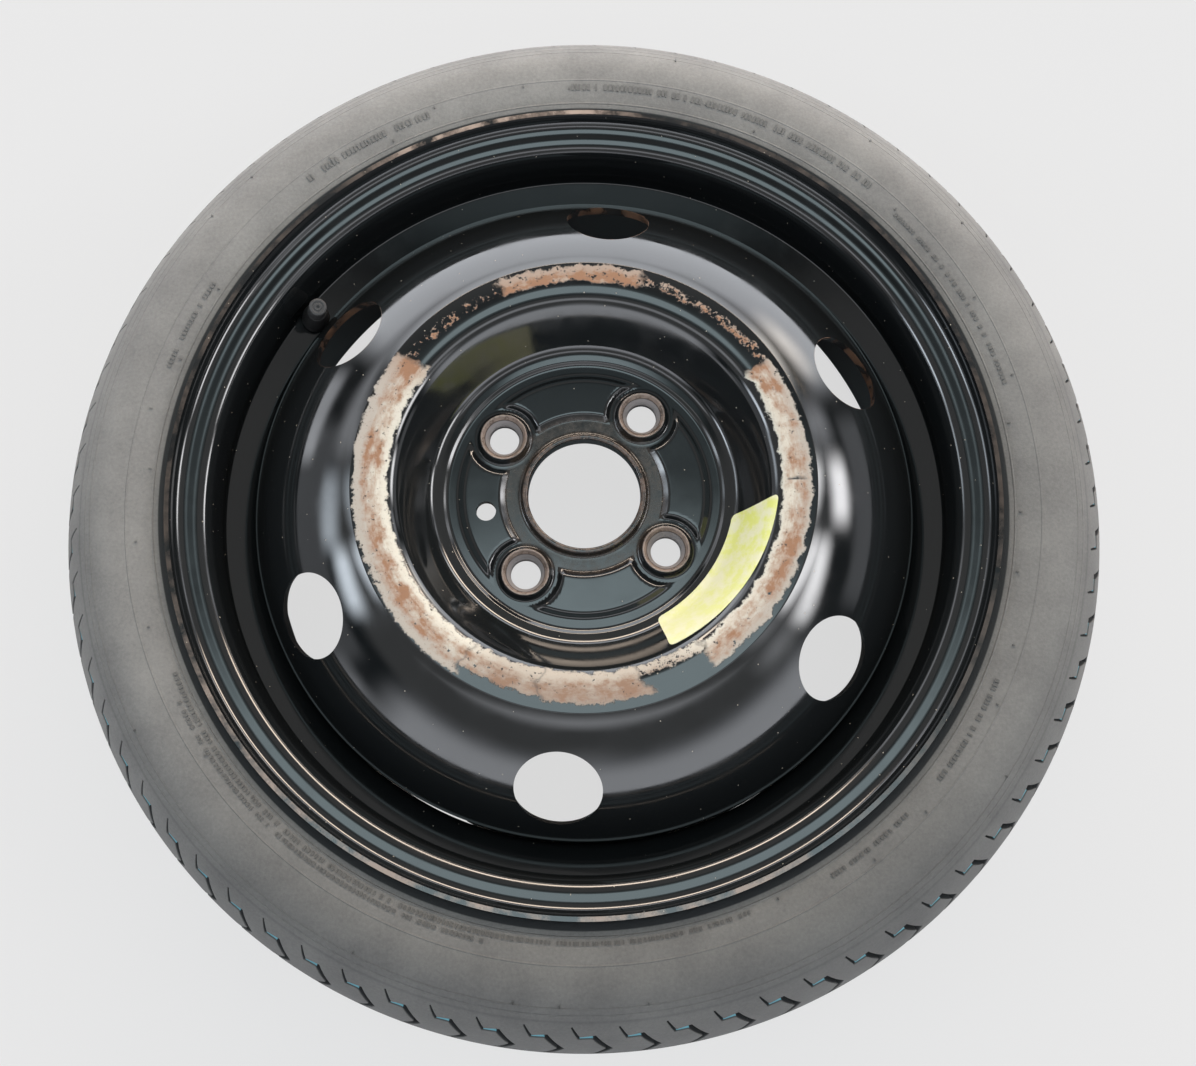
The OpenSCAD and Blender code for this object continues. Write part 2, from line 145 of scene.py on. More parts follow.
# Label: its four corners as (radius, angle), since it lies a little askew on the wall
LABEL_INNER = ((72.7, -60.2), (74.9, -8.5))
LABEL_OUTER = ((90.6, -62.9), (94.7, -3.9))
LABEL_WIDTH = 27.0
LABEL_CORNER = 2.6
LABEL_T = 0.2
LABEL_COLUMNS = 60


# Outlines of revolution, as lists of (radius, height)
def arc(centre, radius, start, end, steps):
    turns = [math.radians(start + (end - start) * k / steps) for k in range(steps + 1)]
    return [(centre[0] + radius * math.cos(a), centre[1] + radius * math.sin(a)) for a in turns]


def corner(before, at, after, steps):
    b = Vector(at[:2])
    u = (Vector(before[:2]) - b).normalized()
    v = (Vector(after[:2]) - b).normalized()
    half = u.angle(v) / 2
    centre = b + (u + v).normalized() * at[2] / math.sin(half)
    start = b + u * at[2] / math.tan(half) - centre
    end = b + v * at[2] / math.tan(half) - centre
    first = math.degrees(math.atan2(start.y, start.x))
    turn = (math.degrees(math.atan2(end.y, end.x)) - first + 180) % 360 - 180
    return arc(centre, at[2], first, first + turn, steps)


def rounded(points, steps=8):
    path = []
    for k, point in enumerate(points):
        if point[2]:
            path += corner(points[k - 1], point, points[k + 1], steps)
        else:
            path.append(tuple(point[:2]))
    return path


def beside(path, distance):
    """The path moved sideways, to the right of its direction."""
    moved = []
    for k, at in enumerate(path):
        ways = []
        for a, b in ((k - 1, k), (k, k + 1)):
            if a >= 0 and b < len(path):
                way = (Vector(path[b]) - Vector(path[a])).normalized()
                ways.append(Vector((way.y, -way.x)))
        first, last = ways[0], ways[-1]
        moved.append(tuple(Vector(at) + distance * (first + last) / (1 + first.dot(last))))
    return moved


def back_of(points, distance):
    """The corners of a sheet's other side, each with the fillet that keeps the sheet's thickness."""
    flat = [Vector(p[:2]) for p in points]
    corners = []
    for k, at in enumerate(beside([p[:2] for p in points], distance)):
        radius = points[k][2]
        if radius:
            into, away = flat[k] - flat[k - 1], flat[k + 1] - flat[k]
            turns_left = into.x * away.y - into.y * away.x > 0
            radius = radius + distance if turns_left else max(radius - distance, 0.6)
        corners.append((*at, radius))
    return corners


def split(path, longest):
    """The path with its long stretches divided."""
    out = [path[0]]
    for a, b in zip(path, path[1:]):
        parts = max(1, math.ceil(math.dist(a, b) / longest))
        out += [tuple(Vector(a).lerp(Vector(b), k / parts)) for k in range(1, parts + 1)]
    return out


def no_repeats(path):
    return [p for k, p in enumerate(path) if k == 0 or math.dist(p, path[k - 1]) > 0.01]


# Mesh helpers
def outline_in(bm, points, closed=True):
    verts = [bm.verts.new(p) for p in points]
    pairs = list(zip(verts, verts[1:])) + ([(verts[-1], verts[0])] if closed else [])
    return verts + [bm.edges.new(pair) for pair in pairs]


def turned(outline, steps, closed=True):
    """A solid of revolution about Z."""
    bm = bmesh.new()
    geom = outline_in(bm, [(r, 0, z) for r, z in outline], closed)
    bmesh.ops.spin(bm, geom=geom, cent=(0, 0, 0), axis=(0, 0, 1), angle=math.tau, steps=steps,
                   use_merge=True)
    bmesh.ops.remove_doubles(bm, verts=bm.verts, dist=0.001)
    bmesh.ops.recalc_face_normals(bm, faces=bm.faces)
    return bm


def swept(outline, angle, steps):
    """A solid made by a face that turns about Z through an angle."""
    bm = bmesh.new()
    outline_in(bm, [(r, 0, z) for r, z in outline])
    bm.faces.new(bm.verts[:])
    bmesh.ops.spin(bm, geom=bm.faces[:], cent=(0, 0, 0), axis=(0, 0, 1), angle=math.radians(angle),
                   steps=steps)
    bmesh.ops.remove_doubles(bm, verts=bm.verts, dist=0.001)
    bmesh.ops.recalc_face_normals(bm, faces=bm.faces)
    return bm


def extruded(bm):
    """Extrudes every face without moving it, and returns the new vertices."""
    made = bmesh.ops.extrude_face_region(bm, geom=bm.faces[:])["geom"]
    return [v for v in made if isinstance(v, bmesh.types.BMVert)]


def placed(bm, matrix):
    bmesh.ops.transform(bm, matrix=matrix, verts=bm.verts)
    return bm


def turn_about_z(angle):
    return Matrix.Rotation(math.radians(angle), 4, "Z")


def joined(parts):
    """One bmesh from several, which are freed."""
    whole = bmesh.new()
    for part in parts:
        mesh = bpy.data.meshes.new("part")
        part.to_mesh(mesh)
        part.free()
        whole.from_mesh(mesh)
        bpy.data.meshes.remove(mesh)
    return whole


def scratch_object(bm):
    mesh = bpy.data.meshes.new("scratch")
    bm.to_mesh(mesh)
    bm.free()
    obj = bpy.data.objects.new("scratch", mesh)
    bpy.context.collection.objects.link(obj)
    return obj


def carved(bm, cutter):
    """The first bmesh less the second. Both are freed."""
    target, tool = scratch_object(bm), scratch_object(cutter)
    carve = target.modifiers.new("carve", "BOOLEAN")
    carve.operation, carve.solver, carve.object = "DIFFERENCE", "EXACT", tool
    graph = bpy.context.evaluated_depsgraph_get()
    mesh = bpy.data.meshes.new_from_object(target.evaluated_get(graph))
    result = bmesh.new()
    result.from_mesh(mesh)
    for obj in (target, tool):
        used = obj.data
        bpy.data.objects.remove(obj)
        bpy.data.meshes.remove(used)
    bpy.data.meshes.remove(mesh)
    return result


def piece(name, bm, material, body, replaced=(), sharp=35):
    """A finished piece in metres, riding on its body and standing for the nodes it replaces."""
    placed(bm, Matrix.Scale(MM, 4))
    mesh = bpy.data.meshes.new(name)
    bm.to_mesh(mesh)
    bm.free()
    mesh.shade_smooth()
    mesh.set_sharp_from_angle(angle=math.radians(sharp))
    mesh.materials.append(material)
    obj = bpy.data.objects.new(name, mesh)
    bpy.context.collection.objects.link(obj)
    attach(obj, body)
    if replaced:
        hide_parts(*replaced)
    return obj


# Tyre
HALF_W = RIM_WIDTH / 2
FLANGE_R = BEAD_R + FLANGE_H
HALF_TYRE = TYRE_WIDTH / 2
TREAD_R = TYRE_OD / 2
CROWN_C = TREAD_R - CROWN_R
EDGE_ANGLE = math.asin(TREAD_HALF / CROWN_R)
EDGE_R = CROWN_C + CROWN_R * math.cos(EDGE_ANGLE)
SHOULDER_R = (HALF_TYRE - TREAD_HALF) / (1 - math.sin(EDGE_ANGLE))
SHOULDER_Y = HALF_TYRE - SHOULDER_R
WIDE_R = EDGE_R - SHOULDER_R * math.cos(EDGE_ANGLE)
LEAVE_ANGLE = 50.0
CURL_C = (FLANGE_R - CURL_R, HALF_W + CURL_R)
LEAVE = (CURL_C[0] + (CURL_R + GAP) * math.sin(math.radians(LEAVE_ANGLE)),
         CURL_C[1] - (CURL_R + GAP) * math.cos(math.radians(LEAVE_ANGLE)))
FOOT_RISE = HALF_TYRE - LEAVE[1]
FOOT_R = ((WIDE_R - LEAVE[0]) ** 2 + FOOT_RISE ** 2) / (2 * FOOT_RISE)
FOOT_ANGLE = math.degrees(math.asin((WIDE_R - LEAVE[0]) / FOOT_R))
PITCH_ANGLE = 360 / PITCHES
PITCH_L = math.radians(PITCH_ANGLE) * TREAD_R
PITCH_COLUMNS = 4
SECTOR_START = -PITCH_L / 8


def tread_height(y, inset=0.0):
    """Radius of the tread, or of a floor below it, at a distance from the middle."""
    if y <= (CROWN_R - inset) * math.sin(EDGE_ANGLE):
        return CROWN_C + math.sqrt((CROWN_R - inset) ** 2 - y ** 2)
    return WIDE_R + math.sqrt((SHOULDER_R - inset) ** 2 - (y - SHOULDER_Y) ** 2)


def side_height(r):
    """Distance of the sidewall from the middle, at a radius."""
    if r > WIDE_R:
        return SHOULDER_Y + math.sqrt(SHOULDER_R ** 2 - (r - WIDE_R) ** 2)
    return HALF_TYRE - FOOT_R + math.sqrt(FOOT_R ** 2 - (WIDE_R - r) ** 2)


def tyre_half_section():
    edge = math.degrees(EDGE_ANGLE)
    near, far = (RING_GROOVE_Y + k * RING_GROOVE_W / 2 for k in (-1, 1))
    floor_r = tread_height(RING_GROOVE_Y) - GROOVE_DEPTH - 1
    near_a, far_a = (math.degrees(math.asin(y / CROWN_R)) for y in (near, far))
    crown = arc((CROWN_C, 0), CROWN_R, 0, near_a, 2) + [(floor_r, near), (floor_r, far)]
    crown += arc((CROWN_C, 0), CROWN_R, far_a, edge, 8)
    side = arc((WIDE_R, SHOULDER_Y), SHOULDER_R, edge, 90, 8)
    side += arc((WIDE_R, HALF_TYRE - FOOT_R), FOOT_R, 90, 90 + FOOT_ANGLE, 7)
    side += arc(CURL_C, CURL_R + GAP, LEAVE_ANGLE - 90, -90, 6)
    toe = (BEAD_R - BEAD_WIDTH * math.tan(math.radians(SEAT_TAPER)) + GAP, HALF_W - BEAD_WIDTH)
    bead = rounded([(CURL_C[0], HALF_W - GAP, 0), (BEAD_R + GAP, HALF_W - GAP, BEAD_FILLET), (*toe, 0)], 5)
    cavity_r = TREAD_R - TREAD_WALL
    cavity = rounded([
        (*toe, 0),
        (toe[0] + 9, toe[1] + 2.5, 6),
        (toe[0] + 25, HALF_TYRE - SIDE_WALL - 1, 20),
        (cavity_r - 3, HALF_TYRE - SIDE_WALL, 30),
        (cavity_r, 0, 0)], 5)
    return no_repeats(crown + side + bead + cavity)


def groove_cutter():
    """The solid that cuts one zigzag groove, along (distance round the tyre, distance from the middle)."""
    path, widths = [ZIGZAG[0]], [ZIGZAG_WIDTHS[0]]
    for k in range(1, len(ZIGZAG)):
        parts = math.ceil(math.dist(ZIGZAG[k - 1], ZIGZAG[k]) / 2)
        for j in range(1, parts + 1):
            path.append(tuple(Vector(ZIGZAG[k - 1]).lerp(Vector(ZIGZAG[k]), j / parts)))
            widths.append(ZIGZAG_WIDTHS[k - 1] + (ZIGZAG_WIDTHS[k] - ZIGZAG_WIDTHS[k - 1]) * j / parts)
    sides = []
    for way in (1, -1):
        outer = beside(path, way)
        sides.append([tuple(Vector(p).lerp(Vector(q), w * GROOVE_W / 2))
                      for p, q, w in zip(path, outer, widths)])
    bm = bmesh.new()
    loop = sides[0] + sides[1][::-1]
    floor = bm.faces.new([bm.verts.new((s, y, tread_height(y, GROOVE_DEPTH))) for s, y in loop])
    bmesh.ops.triangulate(bm, faces=[floor])
    for vert in extruded(bm):
        vert.co.z = tread_height(vert.co.y) + 4
    bmesh.ops.recalc_face_normals(bm, faces=bm.faces)
    return bm


def tyre_half_pitch():
    """One pitch of the outboard half: x runs round the tyre, y across it and z is the radius."""
    bm = bmesh.new()
    bm.faces.new([bm.verts.new((SECTOR_START, y, r)) for r, y in tyre_half_section()])
    bmesh.ops.translate(bm, vec=(PITCH_L, 0, 0), verts=extruded(bm))
    for k in range(1, PITCH_COLUMNS):
        cut_x = SECTOR_START + PITCH_L * k / PITCH_COLUMNS
        bmesh.ops.bisect_plane(bm, geom=bm.verts[:] + bm.edges[:] + bm.faces[:],
                               plane_co=(cut_x, 0, 0), plane_no=(1, 0, 0))
    bmesh.ops.recalc_face_normals(bm, faces=bm.faces)
    bm = carved(bm, groove_cutter())
    walls = []
    for face in bm.faces:
        for axis, at in ((0, SECTOR_START), (0, SECTOR_START + PITCH_L), (1, 0.0)):
            if face not in walls and all(abs(v.co[axis] - at) < 1e-3 for v in face.verts):
                walls.append(face)
    bmesh.ops.delete(bm, geom=walls, context="FACES")
    for vert in bm.verts:
        turn = vert.co.x / TREAD_R
        vert.co = Vector((vert.co.z * math.cos(turn), vert.co.z * math.sin(turn), vert.co.y))
    return bm


def side_mark(corners, angle, height=0.35, rib=0.0):
    """A raised mark on the sidewall from (across, radius) corners, or its outline if a rib is given."""
    bm = bmesh.new()
    face = bm.faces.new([bm.verts.new((u, v, 0)) for u, v in corners])
    if rib:
        bmesh.ops.inset_region(bm, faces=[face], thickness=rib)
        bmesh.ops.delete(bm, geom=[face], context="FACES")
    for vert in extruded(bm):
        vert.co.z = height
    bmesh.ops.recalc_face_normals(bm, faces=bm.faces)
    for mark_face in bm.faces:
        mark_face.material_index = 1
    for vert in bm.verts:
        turn = math.radians(angle) + vert.co.x / vert.co.y
        r = vert.co.y
        side = side_height(r) + (vert.co.z or -0.1)
        vert.co = Vector((r * math.cos(turn), r * math.sin(turn), side))
    return bm


def bar(width, r0, r1, slant, notch=0.0):
    """Corners of a slanted bar that leans along the tyre, with its long sides divided."""
    steps = 4
    up = [(width / 2 + slant * k / steps, r0 + (r1 - r0) * k / steps) for k in range(steps + 1)]
    down = [(-width / 2 + slant * k / steps, r0 + (r1 - r0) * k / steps) for k in range(steps, -1, -1)]
    if notch:
        up[2] = (up[2][0] - notch, up[2][1])
    return up + down


# Rows of outlined bars, as (first angle, last angle, inner radius, outer radius)
BAR_ROWS = (
    (33, 123, 229.0, 242.5),
    (-31, 10, 229.0, 244.0),
    (158, 190, 230.0, 243.0),
    (211, 305, 229.0, 243.5))
# Rows of small ticks, as (first angle, last angle, inner radius, height)
TICK_ROWS = (
    (48, 92, 221.5, 3.4),
    (112, 131, 221.0, 3.4),
    (15, 44, 219.5, 2.0),
    (205, 262, 216.5, 2.0),
    (208, 258, 220.0, 1.8),
    (262, 291, 216.5, 1.8),
    (-40, -25, 219.5, 2.4),
    (-58, -46, 219.0, 2.0),
    (150, 163, 219.5, 2.2))
NUB_COUNT = 40


def sidewall_marks(rng):
    marks = []
    for first, last, r0, r1 in BAR_ROWS:
        angle = first
        while angle < last:
            width = rng.choice((4.5, 9.0, 11.0))
            gap = rng.choice((2.6, 2.6, 9.0))
            step = math.degrees((width + gap) / r0)
            marks.append(side_mark(bar(width, r0, r1, -2.5, 0.12 * width), angle + step / 2, 0.8, 1.0))
            if width > 8:
                marks.append(side_mark(bar(width - 5.5, r0 + 4, r1 - 4, -1.2), angle + step / 2, 0.7, 0.8))
            angle += step
    for first, last, r0, height in TICK_ROWS:
        angle = first
        while angle < last:
            width = rng.uniform(0.7, 1.8)
            if rng.random() < 0.84:
                marks.append(side_mark([(-width / 2, r0), (width / 2, r0), (width / 2, r0 + height),
                                        (-width / 2, r0 + height)], angle, 0.5))
            angle += math.degrees((width + 0.9) / r0)
    for k in range(NUB_COUNT):
        r = rng.choice((217.0, 222.5, 225.5, 246.0))
        marks.append(side_mark([(-0.3, r - 0.6), (0.3, r - 0.7), (0.25, r + 0.7), (-0.3, r + 0.6)],
                               360 * k / NUB_COUNT + rng.uniform(-3, 3), 0.9))
    return marks


def tyre_mesh():
    half = tyre_half_pitch()
    other = placed(half.copy(), turn_about_z(PITCH_ANGLE / 2) @ Matrix.Rotation(math.pi, 4, "X"))
    bm = joined([half, other])
    bmesh.ops.spin(bm, geom=bm.verts[:] + bm.edges[:] + bm.faces[:], cent=(0, 0, 0), axis=(0, 0, 1),
                   angle=math.radians(360 - PITCH_ANGLE), steps=PITCHES - 1, use_duplicate=True)
    bmesh.ops.remove_doubles(bm, verts=bm.verts, dist=0.02)
    bmesh.ops.recalc_face_normals(bm, faces=bm.faces)
    bm = placed(bm, turn_about_z(GROOVE_PHASE))
    bm = joined([bm] + sidewall_marks(random.Random(7)))
    return placed(bm, Matrix.Translation((0, 0, MID_Z)))


# Rim
def rim_mesh():
    inset = (HALF_W - SEAT_END_Y) * math.tan(math.radians(SEAT_TAPER))
    well_r = BEAD_R - WELL_DEPTH
    drop = WELL_DEPTH * math.tan(math.radians(WALL_SLOPE))
    path = rounded([
        (FLANGE_R + LIP_FLARE, HALF_W + LIP_REACH, 0),
        (FLANGE_R, HALF_W, CURL_R),
        (BEAD_R, HALF_W, BEAD_FILLET),
        (BEAD_R - inset, SEAT_END_Y, 6),
        (BEAD_R + HUMP_RISE, HUMP_Y, 4),
        (BEAD_R, WELL_TOP_Y, 4.5),
        (well_r + WELL_DRAFT, WELL_TOP_Y - drop, 5),
        (well_r, -HUMP_Y + drop, 5),
        (BEAD_R, -HUMP_Y, 3.5),
        (BEAD_R - inset, -SEAT_END_Y, 6),
        (BEAD_R, -HALF_W, BEAD_FILLET),
        (FLANGE_R, -HALF_W, CURL_R),
        (FLANGE_R + LIP_FLARE, -HALF_W - LIP_REACH, 0)], 9)
    outline = path + beside(path, RIM_T)[::-1]
    bm = placed(turned(no_repeats(outline), RIM_STEPS), Matrix.Translation((0, 0, MID_Z)))
    hole = turned([(0, -6), (VALVE_HOLE_R, -6), (VALVE_HOLE_R, 6), (0, 6)], 48, closed=False)
    return carved(bm, placed(hole, valve_place()))


def valve_place():
    slope = math.radians(WALL_SLOPE)
    seat_r = BEAD_R - VALVE_INSET * math.cos(slope) - RIM_T * math.sin(slope)
    seat_y = WELL_TOP_Y - VALVE_INSET * math.sin(slope) + RIM_T * math.cos(slope)
    lean = Matrix.Rotation(math.radians(-VALVE_LEAN), 4, "Y")
    return turn_about_z(VALVE_ANGLE) @ Matrix.Translation((seat_r, 0, MID_Z + seat_y)) @ lean


# Disc
DOME_C = VENT_CIRCLE_R - DOME_R * math.sin(math.radians(VENT_SLOPE))
DOME_CZ = VENT_Z - DOME_R * math.cos(math.radians(VENT_SLOPE))
SKIRT_R = BEAD_R - WELL_DEPTH - RIM_T - GAP
DOME_END_R = SKIRT_R - DOME_END_INSET


def dome_z(r):
    return DOME_CZ + math.sqrt(DOME_R ** 2 - (r - DOME_C) ** 2)


def dome_arc(steps):
    start, end = (math.degrees(math.acos((r - DOME_C) / DOME_R)) for r in (STEP_R, DOME_END_R))
    return [(r, z, 0) for r, z in arc((DOME_C, DOME_CZ), DOME_R, start, end, steps)]


DOME_END_ANGLE = math.acos((DOME_END_R - DOME_C) / DOME_R)
SKIRT_CORNER_Z = dome_z(DOME_END_R) - (SKIRT_R - DOME_END_R) / math.tan(DOME_END_ANGLE)
SKIRT = [(SKIRT_R, SKIRT_CORNER_Z, SKIRT_FILLET), (SKIRT_R, -SKIRT_DEPTH, 0)]


def bolt_places():
    for k in range(4):
        a = math.radians(BOLT_PHASE + 90 * k)
        yield Vector((BOLT_CIRCLE_R * math.cos(a), BOLT_CIRCLE_R * math.sin(a), 0))


def smooth(low, high, value):
    t = min(max((value - low) / (high - low), 0.0), 1.0)
    return t * t * (3 - 2 * t)


def disc_outline():
    """The sheet's section: its front from the bore to the skirt, then its back the other way."""
    front = rounded([
        (BORE_R, 0, 0),
        (BORE_R, COLLAR_H, 1.2),
        (COLLAR_R, COLLAR_H, 1.1),
        (COLLAR_R + 0.6, DISC_T, 2.0),
        (PAD_R0, DISC_T, 1.5),
        (PAD_R0 + PAD_FLANK, DISC_T + PAD_RISE, 2.5),
        (PAD_R1, DISC_T + PAD_RISE, 4.0),
        (PAD_R1 + PAD_FLANK, DISC_T, 4.0),
        (BOWL_FOOT_R - 2.2, DISC_T, 3.0), *BOWL_WALL, CREST_END, *dome_arc(26), *SKIRT], 9)
    hub_end = next(k for k, p in enumerate(front) if p[0] > BOWL_FOOT_R)
    front = no_repeats(split(front[:hub_end], 0.9) + split(front[hub_end:], 6))
    back = rounded(back_of([
        (COLLAR_R - 0.5, DISC_T, 0),
        (BOWL_FOOT_R - 2.2, DISC_T, 3.0), *BOWL_WALL, CREST_END, *dome_arc(12), *SKIRT], DISC_T), 5)
    back = [(BORE_R + 1, 0)] + back[1:]
    back_hub = [(r, z) for r, z in back if r < BOWL_FOOT_R - 8]
    back = split(back_hub + [(BOWL_FOOT_R - 8, 0)], 2.5) + [p for p in back if p[0] > BOWL_FOOT_R - 8]
    return no_repeats(front + back[::-1])


def press_pads(bm, bolts):
    """Lowers the ring of pads to the hub's level round each bolt, and hollows the back under it."""
    for vert in bm.verts:
        r = vert.co.xy.length
        if PAD_R0 - 1 < r < PAD_R1 + PAD_FLANK + 1:
            near = min((vert.co.xy - b.xy).length for b in bolts)
            outside = smooth(DISH_R - 0.6, DISH_R + 2.6, near)
            if vert.co.z > 2.5:
                vert.co.z = DISC_T + (vert.co.z - DISC_T) * outside
            else:
                ring = smooth(PAD_R0 + 3, PAD_R0 + 5, r) * (1 - smooth(PAD_R1 - 3, PAD_R1 - 1, r))
                vert.co.z += (PAD_RISE - 0.2) * ring * outside


def disc_cutters(bolts):
    """What is cut from the disc: vents, flats on the skirt, bolt holes and the locating hole."""
    cutters = []
    for k in range(6):
        wide, narrow = (VENT_R + VENT_FLARE * depth for depth in (9, -1))
        vent = turned([(0, -9), (wide, -9), (narrow, 1), (narrow, 9), (0, 9)], 96, closed=False)
        place = turn_about_z(VENT_PHASE + 60 * k) @ Matrix.Translation((VENT_CIRCLE_R, 0, VENT_Z))
        place = place @ Matrix.Rotation(math.radians(VENT_SLOPE), 4, "Y")
        cutters.append(placed(vent, place @ Matrix.Translation((VENT_OUT, 0, 0))))
    for k in range(RELIEF_COUNT):
        low, high = SKIRT_R - RELIEF_DEPTH, SKIRT_CORNER_Z
        flat = swept([(low, -SKIRT_DEPTH - 1), (SKIRT_R + 1, -SKIRT_DEPTH - 1),
                      (SKIRT_R + 1, high), (low, high - 4)], RELIEF_ANGLE, 24)
        cutters.append(placed(flat, turn_about_z(RELIEF_PHASE + 360 / RELIEF_COUNT * k)))
    for centre in bolts:
        hole = turned([(0, -1), (BOLT_R + 0.5, -1), (BOLT_R + 0.5, 12), (0, 12)], 64, closed=False)
        cutters.append(placed(hole, Matrix.Translation(centre)))
    hole = turned([(0, -1), (LOCATOR_R, -1), (LOCATOR_R, 12), (0, 12)], 40, closed=False)
    cutters.append(placed(hole, turn_about_z(LOCATOR_ANGLE) @ Matrix.Translation((BOLT_CIRCLE_R, 0, 0))))
    return cutters


def disc_mesh():
    bm = turned(disc_outline(), DISC_STEPS)
    bolts = list(bolt_places())
    press_pads(bm, bolts)
    bm = carved(bm, joined(disc_cutters(bolts)))
    seats = [placed(bolt_seat(), Matrix.Translation(centre)) for centre in bolts]
    return joined([bm] + seats)


def bolt_seat():
    """The coned seat that stands up round a bolt hole, flaring out to the sheet at its foot."""
    top = DISC_T + SEAT_H
    cone = (SEAT_R - BOLT_R) / math.tan(math.radians(SEAT_HALF_ANGLE))
    outline = rounded([
        (BOLT_R, 0, 0),
        (BOLT_R, top - cone, 0.8),
        (SEAT_R, top, 0.7),
        (SEAT_R + 0.9, top, 0.6),
        (SEAT_R + 2.2, DISC_T, 2.2),
        (SEAT_R + 5.2, DISC_T + 0.02, 0)], 6)
    outline = outline + [(SEAT_R + 5.2, DISC_T - 1), (BOLT_R + 1.5, DISC_T - 1), (BOLT_R + 1.5, 0)]
    return turned(no_repeats(outline), 64)


def weld_mesh():
    """Beads of weld under the skirt's edge, one between each two flats."""
    span = 360 / RELIEF_COUNT - RELIEF_ANGLE - 2 * WELD_INSET
    rim_face, top = SKIRT_R + GAP - 0.06, -SKIRT_DEPTH - 0.1
    bead = swept([
        (rim_face, top),
        (rim_face, top - WELD_LEG),
        (SKIRT_R - 0.4 * WELD_LEG, top - 0.75 * WELD_LEG),
        (SKIRT_R - 0.75 * WELD_LEG, top - 0.4 * WELD_LEG),
        (SKIRT_R - 0.93 * WELD_LEG, top)], span, 40)
    placed(bead, turn_about_z(RELIEF_PHASE + RELIEF_ANGLE + WELD_INSET))
    return joined([placed(bead.copy(), turn_about_z(360 / RELIEF_COUNT * k)) for k in range(RELIEF_COUNT)])


BOWL_FRONT = rounded([(BOWL_FOOT_R - 2.2, DISC_T, 0), *BOWL_WALL, (*CREST_END[:2], 0)], 9)


def wall_point(r, off):
    """The point at a radius on the bowl's wall, moved off it along its normal, as (radius, height)."""
    (r0, z0), (r1, z1) = next(ends for ends in zip(BOWL_FRONT, BOWL_FRONT[1:]) if r <= ends[1][0])
    along = Vector((r1 - r0, z1 - z0))
    at = Vector((r0, z0)) + along * (r - r0) / (r1 - r0)
    return at + off * Vector((-along.y, along.x)).normalized()


def label_mesh():
    """The film on the bowl's wall, with its corners rounded by rows that start later near its edges."""
    edge_rows = [0.0, 0.15, 0.5, 1.0, 1.7, LABEL_CORNER]
    middle = LABEL_WIDTH - 2 * LABEL_CORNER
    across = edge_rows + [LABEL_CORNER + middle * k / 14 for k in range(1, 14)]
    across += [LABEL_WIDTH - a for a in reversed(edge_rows)]
    grids = []
    bm = bmesh.new()
    for off in (0.05, 0.05 + LABEL_T):
        grid = []
        for a in across:
            v, edge = a / LABEL_WIDTH, min(a, LABEL_WIDTH - a, LABEL_CORNER)
            cut = LABEL_CORNER - math.sqrt(LABEL_CORNER ** 2 - (LABEL_CORNER - edge) ** 2)
            ends = [[i + (o - i) * v for i, o in zip(*pair)] for pair in zip(LABEL_INNER, LABEL_OUTER)]
            trim = cut / (math.radians(ends[1][1] - ends[0][1]) * ends[0][0])
            row = []
            for k in range(LABEL_COLUMNS + 1):
                u = trim + (1 - 2 * trim) * k / LABEL_COLUMNS
                r, angle = (e0 + (e1 - e0) * u for e0, e1 in zip(*ends))
                at, turn = wall_point(r, off), math.radians(angle)
                row.append(bm.verts.new((at.x * math.cos(turn), at.x * math.sin(turn), at.y)))
            grid.append(row)
        grids.append(grid)
    for grid in grids:
        for low, high in zip(grid, grid[1:]):
            for k in range(LABEL_COLUMNS):
                bm.faces.new((low[k], low[k + 1], high[k + 1], high[k]))
    rims = [grid[0] + [row[-1] for row in grid[1:]] + grid[-1][-2::-1] + [row[0] for row in grid[-2:0:-1]]
            for grid in grids]
    for k in range(len(rims[0])):
        bm.faces.new((rims[0][k - 1], rims[0][k], rims[1][k], rims[1][k - 1]))
    bmesh.ops.recalc_face_normals(bm, faces=bm.faces)
    return bm


# Valve
def valve_rubber_mesh():
    outline = rounded([
        (3.15, -11, 0),
        (4.6, -11, 0.5),
        (5.6, -10, 1),
        (HEAD_R + 0.2, -4.8, 0.6),
        (HEAD_R + 0.2, -RIM_T - HEAD_GAP, 0.6),
        (VALVE_HOLE_R - GAP, -RIM_T - HEAD_GAP + 0.2, 0.1),
        (VALVE_HOLE_R - GAP, HEAD_GAP, 0.3),
        (HEAD_R, HEAD_GAP, 1.0),
        (HEAD_R, HEAD_GAP + 7, 3),
        (5.3, VALVE_RUBBER_L - 1, 2),
        (4.9, VALVE_RUBBER_L, 0.3),
        (3.15, VALVE_RUBBER_L, 0)], 6)
    return placed(turned(no_repeats(outline), 64), valve_place())


def valve_cap_mesh():
    foot, top, ribs = VALVE_RUBBER_L + 0.6, VALVE_REACH + 1.8, 32
    bore = 4.1
    outline = rounded([
        (bore, foot, 0),
        (CAP_R, foot, 0.25),
        (CAP_R, top, 0.9),
        (3.0, top, 0.25),
        (2.8, top - 0.35, 0.15),
        (2.1, top - 0.35, 0.15),
        (1.9, top, 0.2),
        (0.85, top, 0.15),
        (0.8, top - 0.8, 0.1),
        (0, top - 0.8, 0)], 4) + [(0, VALVE_REACH + 0.3), (bore, VALVE_REACH + 0.3)]
    bm = turned(no_repeats(split(outline, 1.2)), ribs * 4)
    for vert in bm.verts:
        r = vert.co.xy.length
        if r > CAP_R - 0.05 and foot + 1 < vert.co.z < top - 1.2:
            turn = math.atan2(vert.co.y, vert.co.x)
            vert.co.xy *= 1 - 0.025 * (1 + math.cos(turn * ribs))
    return placed(bm, valve_place())


# Node helpers
MATH, RANGE, VECTOR = "ShaderNodeMath", "ShaderNodeMapRange", "ShaderNodeVectorMath"
NOISE, MIX, ROTATE = "ShaderNodeTexNoise", "ShaderNodeMix", "ShaderNodeVectorRotate"


